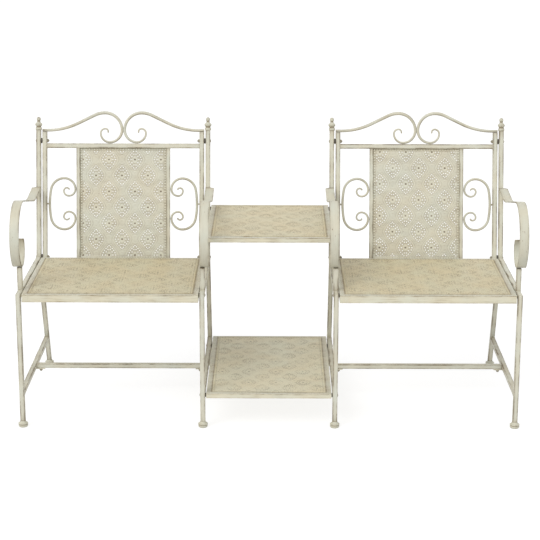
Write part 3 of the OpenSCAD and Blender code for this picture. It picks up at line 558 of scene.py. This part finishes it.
def stub(which, sign):
    """Short welded peg that holds the C's back to the upright: a rod that widens toward it."""
    u = sign * np.array([inner - STUB_IN, inner + STUB_OUT])
    grid, lay = carried(rod_outline, on_panel(which, u, [C_RISE, C_RISE]), SLOPE_OUT, scale=STUB_RADII)
    return skin(grid, lay, 0, grime_and_shade=0.5)


rod_outline = circle(16)
crest_paint = paint("cream_crest_paint", streaks=0.3, rubbing=0.6, rusting=0.3)
crest, c_rod = crest_line(), c_line()
for which in CHAIRS:
    crest_parts = [rod(which, crest, sign, 0, CREST_ROD, CREST_TAPER, False) for sign in (-1, 1)]
    c_parts = []
    for sign in (-1, 1):
        c_parts += [rod(which, c_rod, sign, C_RISE, C_ROD, C_TAPER, True), stub(which, sign)]
    build(f"crest_rods_{which}", crest_parts, crest_paint, [f"crest_scrolls_{which}"], weighted=False)
    build(f"c_rods_{which}", c_parts, turned_paint, [f"c_scrolls_{which}"], weighted=False)

# Angle frames and low stretchers.
# The seats, the table and the shelf are rings of steel angle, mitred and welded, with the flange on top.
# A plain tube runs between the side stretchers under each seat.
SEAT_ANGLE, TABLE_ANGLE = (25 * MM, 2 * MM), (15 * MM, 1.5 * MM)
NICK, HEEL_SHARE, HEEL_RUB = 0.3 * MM, 0.7, 1.6 * MM
angle_paint = paint("cream_angle_paint", colour=(0.745, 0.715, 0.580), wash=(0.33, 0.25, 0.13), streaks=0.85,
                    rubbing=0.7, rusting=0.6)


def angle_outline(leg, thick, radius):
    """Section of steel angle with its heel at zero: across to the inside, and down. The heel is rounded."""
    turn = np.linspace(math.pi, math.pi / 2, 5)
    heel = radius + radius * np.stack([np.cos(turn), np.sin(turn)], 1) - [0, 2 * radius]
    shares = np.array([0.12, 0.3, 0.6, 0.85])
    top = np.stack([radius + (leg - radius) * shares, np.zeros(4)], 1)
    end = np.array([(leg - NICK, 0), (leg, -NICK), (leg, -thick), (thick, -thick), (thick, -leg), (NICK, -leg),
                    (0, -leg + NICK)])
    front = np.stack([np.zeros(4), -leg + (leg - radius) * (1 - shares[::-1])], 1)
    rub = [np.ones(5), np.exp(-(top[:, 0] - radius) / HEEL_RUB), [1, 1, 0.8, 0, 0.8, 1, 1],
           np.exp(-np.minimum(-front[:, 1] - radius, leg + front[:, 1]) / HEEL_RUB)]
    return np.vstack([heel, top, end, front]), np.concatenate(rub)


def angle_ring(low, high, leg, thick):
    """Section carried round the rectangle of the ring's own box, with extra rings near each mitre."""
    corners = np.array([(low.x, low.y), (low.x, high.y), (high.x, high.y), (high.x, low.y)])
    path = []
    for a, b in zip(corners, np.roll(corners, -1, 0)):
        long = np.linalg.norm(b - a)
        near, far = leg + 2 * MM, leg + 14 * MM
        path.append(a + (b - a) * (np.array([0, near, far, long / 2, long - far, long - near]) / long)[:, None])
    path = np.vstack(path)
    outline, rub = angle_outline(leg, thick, thick * HEEL_SHARE)
    grid, lay = carried(outline * [-1, 1], np.c_[path, np.full(len(path), high.z)], Z_AXIS, closed=True)
    return skin(grid, lay, rub, closed=True)


for name, section in (("seat_frame_left", SEAT_ANGLE), ("seat_frame_right", SEAT_ANGLE), ("table_frame", TABLE_ANGLE),
                      ("shelf_frame", TABLE_ANGLE)):
    ring = angle_ring(*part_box(name), *section)
    build(name.replace("_frame", "_angle_ring"), [ring], angle_paint, [name])
for which in CHAIRS:
    node = f"long_stretcher_{which}"
    y, z = middle(node)[1:]
    grid, lay = carried(square, rings_between([(end.x, y, z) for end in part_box(node)]), Z_AXIS)
    build(f"low_stretcher_{which}", [skin(grid, lay, square_rub, grime_and_shade=0.3)], frame_paint, [node])

# Pierced sheets.
# One sheet to each back, seat, table and shelf, pressed and pierced in a half-drop pattern of medallions:
# a sunk dot on a raised eye, thirty pierced domes in two girdles, two fine ridges round it, a dotted border.
CELL, SHEET_T = np.array([90, 110.4]) * MM, 0.8 * MM
SIDE_BAND, END_BAND, SHEET_CREASE = 17 * MM, 14 * MM, math.radians(50)
QUARTER_HOLES = np.array([(13.5, 0), (10.2, 10.6), (3.6, 18.6), (22.9, 0), (20.1, 8.2), (16.2, 16.2), (10.4, 22.6),
                          (4.9, 28.2), (0, 33)]) * MM
HOLE_R, DOME_R, DOT_R, EYE = 1.7 * MM, 4 * MM, 3.6 * MM, np.array([9.3, 11.6]) * MM
TIP, RIM, RIDGE = 9 * MM, 28.9 * MM, 8.7 * MM
BEAD_PITCH, BEAD_R, BEAD_IN, BEAD_RISE = 9 * MM, 3.2 * MM, 4.5 * MM, 1.6 * MM
DOME_RISE, RIDGE_RISE, EYE_RISE, DOT_SINK = 1.1 * MM, 0.8 * MM, 0.6 * MM, 1.6 * MM
PATTERN_IN, HOLES_IN = BEAD_IN + BEAD_R + 1 * MM, 2 * MM
# Seat and shelf wash colours, which also draw the painted shade at the holes' rims.
SEAT_DIRT_AND_SHADE, SHELF_DIRT_AND_SHADE = (0.270, 0.205, 0.110), (0.270, 0.215, 0.125)
SIX = circle(6)
TURNED_SIX = SIX[:, ::-1]
all_quarters = np.vstack([QUARTER_HOLES * way for way in ((1, 1), (1, -1), (-1, 1), (-1, -1))])
HOLES = np.unique(all_quarters + 0.0, axis=0)


def girdle(x, y):
    """Half width of the line round a medallion that a point lies on: the sides of the line are round, and its
    two tips are straight."""
    return (np.abs(x) ** 4 + np.maximum(np.abs(x) + np.abs(y) - TIP, 0) ** 4) ** 0.25


def girdle_points(size, count):
    """Points on the line of one half width, evenly turned, each found by halving its reach again and again."""
    way = circle(count)
    near, far = np.zeros(count), np.full(count, CELL[1])
    for _ in range(24):
        half = (near + far) / 2
        out = girdle(*(way * half[:, None]).T) > size
        near, far = np.where(out, near, half), np.where(out, half, far)
    return way * near[:, None]


def within(points, window, inset):
    """Which points lie in a window about zero, at least an inset from its sides."""
    return (np.abs(points) < window / 2 - inset).all(1)


def medallions(window, first):
    """Middles of the medallions that reach into the window, at every second corner of a net of half cells."""
    i, j = np.meshgrid(np.arange(-16, 17), np.arange(-16, 17))
    keep = (i + j) % 2 == 0
    middles = np.stack([i[keep], j[keep]], 1) * CELL / 2 + first * CELL
    return middles[within(middles, window + CELL, 0)]


def relief(points, first):
    """Height of the pressing, how deep the wash lies in it, and the sunk dot, from a point's place in its own
    medallion, folded into one quarter: the eye is a flat-topped lozenge with round corners, the dot a steep
    bell, domes fall off as a cosine round each hole, and the ridges are a cosine of the line's half width."""
    s, t = ((points - first * CELL) / (CELL / 2)).T
    p, q = s + t, s - t
    dp, dq = p - 2 * np.round(p / 2), q - 2 * np.round(q / 2)
    x, y = np.abs(dp + dq) * CELL[0] / 4, np.abs(dp - dq) * CELL[1] / 4
    eye = np.clip((1.15 - ((x / EYE[0]) ** 1.6 + (y / EYE[1]) ** 1.6) ** 0.625) / 0.25, 0, 1)
    dot = np.exp(-((np.hypot(x, 1.2 * y) / DOT_R) ** 4))
    near = np.min(np.hypot(x[:, None] - QUARTER_HOLES[:, 0], y[:, None] - QUARTER_HOLES[:, 1]), 1)
    dome = np.cos(np.clip(near / DOME_R, 0, 1) * math.pi / 2)
    line = girdle(x, y)
    ridge = np.where(line < RIM + 1.5 * RIDGE, 0.5 - 0.5 * np.cos((line - RIM) / RIDGE * 2 * math.pi), 1)
    inside = line < RIM
    level = 0.4 * np.clip((line - RIM) / (0.5 * RIDGE) - 2, 0, 1)
    height = np.where(inside, DOME_RISE * dome, RIDGE_RISE * ridge) + EYE_RISE * eye - DOT_SINK * dot
    hollow = dot + np.where(inside, (1 - dome) * (1 - eye), np.maximum(0.9 * (1 - ridge), level))
    return height, np.clip(hollow, 0, 1), 1.8 * dot


def medallion_net():
    """Loose points over one medallion, closest where its form bends, kept to its own half-drop cell."""
    net = [np.zeros((1, 2)), SIX * DOT_R * 0.6, TURNED_SIX * DOT_R * 1.15,
           (HOLES[:, None] + TURNED_SIX * DOME_R * 0.9).reshape(-1, 2)]
    net += [circle(14) * EYE * reach for reach in (0.9, 1.15)]
    net += [girdle_points(RIM + k * RIDGE / 4, 36) for k in range(-1, 7)]
    share = np.linspace(0, 1, 10)
    shore = np.stack([share, 1 - share], 1) * CELL / 2
    net = np.vstack(net + [shore, shore * (-1, 1)])
    return net[(np.abs(net) / (CELL / 2)).sum(1) <= 1.001]


def border_beads(window):
    """Middles of the beads along the window's four sides, evenly pitched from corner to corner."""
    rows = []
    for k in (0, 1):
        reach = window[k] / 2 - BEAD_IN
        places = np.linspace(-reach, reach, 1 + round(2 * reach / BEAD_PITCH))[k:-1 if k else None]
        for sign in (-1, 1):
            line = np.stack([places, np.full(len(places), sign * (window[1 - k] / 2 - BEAD_IN))], 1)
            rows.append(line[:, ::-1] if k else line)
    return np.vstack(rows)


def pierced_sheet(size, window, first, opening):
    """Flat sheet with its holes, as one closed skin: hole outlines, border beads and the net of points are
    joined into triangles, those inside a hole are left out, the relief lifts the points, and a second layer
    and the walls of the holes close it. An opening under 1 stands for holes half filled with paint."""
    middles = medallions(window, first)
    centres = (middles[:, None] + HOLES).reshape(-1, 2)
    centres = centres[within(centres, window, PATTERN_IN + HOLES_IN)]
    holes = (centres[:, None] + SIX * HOLE_R * opening).reshape(-1, 2)
    net = (middles[:, None] + medallion_net()).reshape(-1, 2)
    net = net[within(net, window, PATTERN_IN)]
    beads = border_beads(window)
    crowns = (beads[:, None] + SIX * BEAD_R * 0.7).reshape(-1, 2)
    feet = (beads[:, None] + TURNED_SIX * BEAD_R * 1.1).reshape(-1, 2)
    corners = np.array([(-1, -1), (1, -1), (1, 1), (-1, 1)]) * size / 2
    flat = np.vstack([holes, net, beads, crowns, feet, corners])
    loops, outer = np.arange(len(holes)).reshape(-1, 6), len(flat) - 4 + np.arange(4)
    edges = np.vstack([np.stack([loops, np.roll(loops, -1, 1)], -1).reshape(-1, 2),
                       np.stack([outer, np.roll(outer, -1)], 1)])
    made = delaunay_2d_cdt(flat.tolist(), edges.tolist(), [], 0, 1e-7, False)
    points = np.array([tuple(v) for v in made[0]])
    tri = np.array([face for face in made[2] if len(face) == 3])
    hole_of = np.full(len(points), -1)
    hole_of[:len(holes)] = np.repeat(np.arange(len(loops)), 6)
    owner = hole_of[tri]
    tri = tri[~((owner[:, 0] >= 0) & (owner == owner[:, :1]).all(1))]
    a, b, c = (points[tri[:, k]] for k in range(3))
    area = (b[:, 0] - a[:, 0]) * (c[:, 1] - a[:, 1]) - (b[:, 1] - a[:, 1]) * (c[:, 0] - a[:, 0])
    tri = np.where(area[:, None] > 0, tri, tri[:, ::-1])[np.abs(area) > 1e-13]
    # The beads stand up from a flat border, and dirt lies round their feet.
    rise, hollow, wear_and_shade = relief(points, first)
    start = len(holes) + len(net)
    top = start + len(beads) + len(crowns)
    rise[start:], hollow[start:], wear_and_shade[start:] = 0, 0, 0
    rise[start:top], hollow[top:-4] = BEAD_RISE, 1.2 if opening == 1 else 7.0
    # Hole rims: painted shade on the seats, table and shelf, where the holes' walls would be dark, and a light rub on
    # the backs.
    wear_and_shade[:len(holes)] = 0.3 if opening == 1 else 0.9
    # A side that only one triangle has is the rim of a hole or of the sheet.
    side = np.concatenate([tri[:, [0, 1]], tri[:, [1, 2]], tri[:, [2, 0]]])
    low, high = np.sort(side, 1).T
    _, back, times = np.unique(low * len(points) + high, return_inverse=True, return_counts=True)
    a, b = side[times[back] == 1].T
    n = len(points)
    faces = tri.tolist() + (tri[:, ::-1] + n).tolist() + np.stack([b, a, a + n, b + n], 1).tolist()
    plane = np.vstack([points, points])
    lift = np.concatenate([rise + SHEET_T / 2, rise - SHEET_T / 2])
    inward = (window / 2 - np.abs(plane)).min(1)
    return plane, lift, faces, {"hollow": np.tile(hollow, 2), "edge": np.tile(wear_and_shade, 2), "inward": inward}


def pressed_border():
    """The border of a pressed sheet: painted shade against the flange, where the sheet meets its frame, then a wide
    and a fine groove beside it, each a straight fall of wash from its middle line."""
    group, came, goes = effect("pressed_border", {key: ("Float", 0.0) for key in ("Inward", "Grooves", "Gap Shade")},
                               {"Hollow": "Float", "Band": "Float"})
    inward, lines = came["Inward"], []
    for at, width, depth in ((-0.5 * MM, 3.4 * MM, 1.3), (9.5 * MM, 1.3 * MM, 0.5)):
        away = number(group, "ABSOLUTE", number(group, "SUBTRACT", inward, at))
        lines.append(drawn_out(group, away, 0.0, width, depth, 0.0))
    groove = number(group, "MULTIPLY", number(group, "MAXIMUM", *lines), came["Grooves"])
    # Painted shade along the window's edge, where the sheet meets its frame.
    dirt_and_shade = number(group, "MULTIPLY", drawn_out(group, inward, 0.0, 2.4 * MM, 0.8, 0.0), came["Gap Shade"])
    group.links.new(number(group, "MAXIMUM", groove, dirt_and_shade), goes["Hollow"])
    group.links.new(drawn_out(group, inward, -1.5 * MM, -0.5 * MM, 1.0, 0.0), goes["Band"])
    return group


BORDER_GROUP = pressed_border()


def sheet_paint(name, colour, wash, streaks, rubbing, depth, grooves=0.0, dirt_and_shade=0.0, specks=0.0):
    """The bench's paint on pressed sheet: as on the tubes, with wash in the hollows and along the border, painted
    shade where the sheet meets its frame, and fine specks of it all over. The band outside the window has the tubes'
    cream."""
    made = paint(name, colour, wash, streaks, rubbing, 0.5, hollow="hollow")
    tree = made.node_tree
    finish = tree.nodes["finish"].inputs
    inward = wire(tree, "ShaderNodeAttribute", attribute_name="inward").outputs["Fac"]
    border = wire(tree, "ShaderNodeGroup", {"Inward": inward, "Grooves": grooves, "Gap Shade": dirt_and_shade},
                  node_tree=BORDER_GROUP).outputs
    sunk, lay = (finish[key].links[0].from_socket for key in ("Hollow", "Lay"))
    both = number(tree, "MAXIMUM", number(tree, "MULTIPLY", sunk, depth), border["Hollow"])
    speck = noise(tree, lay, (330, 330, 330), detail=3, rough=0.7, low=0.5, high=0.72)
    tree.links.new(number(tree, "MULTIPLY_ADD", speck, specks, both), finish["Hollow"])
    tree.links.new(blend_colour(tree, border["Band"], (*colour, 1), (*CREAM, 1)), finish["Paint"])
    return made


# The back sheets get painted shade along their rim, against the bars and rails.
back_paint = sheet_paint("cream_back_sheet_paint", (0.735, 0.722, 0.620), WASH_AND_SHADE, streaks=0.12, rubbing=0.75,
                         depth=0.55, dirt_and_shade=0.3, specks=0.12)
seat_paint = sheet_paint("cream_seat_sheet_paint", (0.690, 0.628, 0.450), SEAT_DIRT_AND_SHADE, streaks=0.14, rubbing=0.8,
                         depth=0.07, grooves=1.0, specks=0.85)
# The shelf's paint is greyer than the seats', and made lighter to offset the shade that the table casts on it:
# painted light.
shelf_paint = sheet_paint("cream_shelf_sheet_paint", (0.760, 0.722, 0.565), SHELF_DIRT_AND_SHADE, streaks=0.14, rubbing=0.8,
                          depth=0.07, grooves=1.0, specks=0.75)


def lay_sheet(name, node, material, origin, across, up, size, window, first, opening):
    """Puts a sheet on the plane through origin that across and up span, in the place of its node."""
    plane, lift, faces, values = pierced_sheet(size, window, np.array(first), opening)
    points = origin + plane[:, :1] * across + plane[:, 1:] * up + lift[:, None] * np.cross(across, up)
    lay = np.stack([plane[:, 1], lift, plane[:, 0]], 1) + origin
    put(name, points, faces, {"lay": lay, **values}, SHEET_CREASE, material, [node])


panel = np.array([2 * BAR_X - BAR_W, BAR_HIGH - BAR_LOW])
for which, first in (("left", (-0.054, -0.13)), ("right", (0.094, 0.125))):
    origin = on_panel(which, 0, (BAR_LOW + BAR_HIGH) / 2)
    lay_sheet(f"pierced_back_{which}", f"back_sheet_{which}", back_paint, origin, X_AXIS, high_way, panel, panel,
              first, 1.0)
for name, node, look, across, up, first in (
    ("pierced_table", "table_sheet", seat_paint, X_AXIS, Y_AXIS, (0.38, 0.05)),
    ("pierced_shelf", "shelf_sheet", shelf_paint, X_AXIS, Y_AXIS, (0.25, 0.21)),
    ("pierced_seat_left", "seat_sheet_left", seat_paint, -Y_AXIS, X_AXIS, (-0.41, 0.22)),
    ("pierced_seat_right", "seat_sheet_right", seat_paint, -Y_AXIS, X_AXIS, (-0.1, -0.1)),
):
    low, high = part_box(node)
    size = np.array([high.x - low.x, high.y - low.y])
    window = size - 2 * np.array([SIDE_BAND, END_BAND])
    if up is X_AXIS:
        size, window = size[::-1], window[::-1]
    lay_sheet(name, node, look, middle(node), across, up, size, window, first, 0.8)

# Fasteners.
# Plated bolts painted over with the bench, their nuts, the dark washer stacks between bolted pieces,
# and the flat tabs under the low stretchers.
bolt_paint = paint("painted_over_bolts", colour=(0.34, 0.31, 0.235), streaks=0.3, rusting=1.0, from_object=True)
tab_paint = paint("cream_tab_paint", colour=(0.70, 0.66, 0.54), streaks=0.3, rusting=0.6, from_object=True)
spacer_steel = paint("dark_spacer_steel", colour=(0.075, 0.066, 0.052), wash=(0.03, 0.025, 0.02), streaks=0.5,
                     rusting=0.8, from_object=True)
for node, material in (("back_bolts", bolt_paint), ("seat_bolts", bolt_paint), ("table_bolts", bolt_paint),
                       ("stretcher_bolts", bolt_paint), ("stretcher_tabs", tab_paint), ("spacers", spacer_steel)):
    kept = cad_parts[node]
    kept.data.materials.clear()
    kept.data.materials.append(material)

# Floor, light and camera.
# A white studio: the floor and the room are white to the camera, the lamps are large and soft, and the
# camera stands where the photograph was taken from.
FLOOR_GREY, FLOOR_SHOWN, FLOOR_LIT = (0.32, 0.32, 0.32, 1), (0.78, 0.78, 0.78, 1), (0.45, 0.45, 0.45, 1)
ROOM_SHOWN, ROOM_LIT, FLOOR_REACH = (1, 1, 1, 1), (0.70, 0.70, 0.71, 1), 30


def seen_as(tree, shown, lit):
    """Colour that the camera and gloss see, and another by which everything is lit."""
    path = tree.nodes.new("ShaderNodeLightPath").outputs
    seen = number(tree, "MAXIMUM", path["Is Camera Ray"], path["Is Glossy Ray"])
    return blend_colour(tree, seen, lit, shown)


floor_mesh = bpy.data.meshes.new("studio_floor")
floor_mesh.from_pydata([(x * FLOOR_REACH, y * FLOOR_REACH, 0) for x, y in ((-1, -1), (1, -1), (1, 1), (-1, 1))], [],
                       [(0, 1, 2, 3)])
floor = bpy.data.objects.new("studio_floor", floor_mesh)
bpy.context.scene.collection.objects.link(floor)
floor_look = bpy.data.materials.new("white_floor")
floor_look.use_nodes = True
shader = floor_look.node_tree.nodes["Principled BSDF"].inputs
shader["Base Color"].default_value = FLOOR_GREY
shader["Roughness"].default_value = 0.9
shader["Specular IOR Level"].default_value = 0.0
shader["Emission Strength"].default_value = 1.0
floor_look.node_tree.links.new(seen_as(floor_look.node_tree, FLOOR_SHOWN, FLOOR_LIT), shader["Emission Color"])
floor_mesh.materials.append(floor_look)

world = bpy.data.worlds.new("white_room")
bpy.context.scene.world = world
world.use_nodes = True
room = world.node_tree.nodes["Background"].inputs
room["Strength"].default_value = 1.0
world.node_tree.links.new(seen_as(world.node_tree, ROOM_SHOWN, ROOM_LIT), room["Color"])


def softbox(name, toward, spread, strength):
    """Distant lamp that shines toward a direction, as wide in the sky as its spread."""
    made = bpy.data.lights.new(name, "SUN")
    made.angle, made.energy = spread, strength
    holder = bpy.data.objects.new(name, made)
    bpy.context.scene.collection.objects.link(holder)
    holder.rotation_mode = "QUATERNION"
    holder.rotation_quaternion = Vector(toward).to_track_quat("-Z", "Y")


softbox("key_softbox", (0.6, 0.75, -0.85), 0.55, 1.25)
softbox("fill_softbox", (-0.8, 0.7, -0.5), 1.3, 0.3)

# The camera's turn, tilt, roll, place and focal length in pixels were fitted to the photograph.
YAW, PITCH, ROLL, FOCAL_PX = -0.0030694, 0.2670312, -0.0018443, 1615.92
CAMERA_PLACE, SENSOR, PICTURE_PX = np.array([0.0181285, -4.9458231 + FRONT, 1.8863175]), 36, 540
forward = np.array([math.sin(YAW) * math.cos(PITCH), math.cos(YAW) * math.cos(PITCH), -math.sin(PITCH)])
flat_right = np.array([math.cos(YAW), -math.sin(YAW), 0])
flat_down = np.cross(forward, flat_right)
right = math.cos(ROLL) * flat_right + math.sin(ROLL) * flat_down
down = -math.sin(ROLL) * flat_right + math.cos(ROLL) * flat_down
camera = bpy.data.objects.new("camera", bpy.data.cameras.new("camera"))
bpy.context.scene.collection.objects.link(camera)
camera.data.sensor_width = SENSOR
camera.data.lens = FOCAL_PX / PICTURE_PX * SENSOR
rows = np.stack([right, -down, -forward, CAMERA_PLACE], 1).tolist()
camera.matrix_world = Matrix(rows + [[0, 0, 0, 1]])
bpy.context.scene.camera = camera
bpy.context.scene.view_settings.view_transform = "Standard"
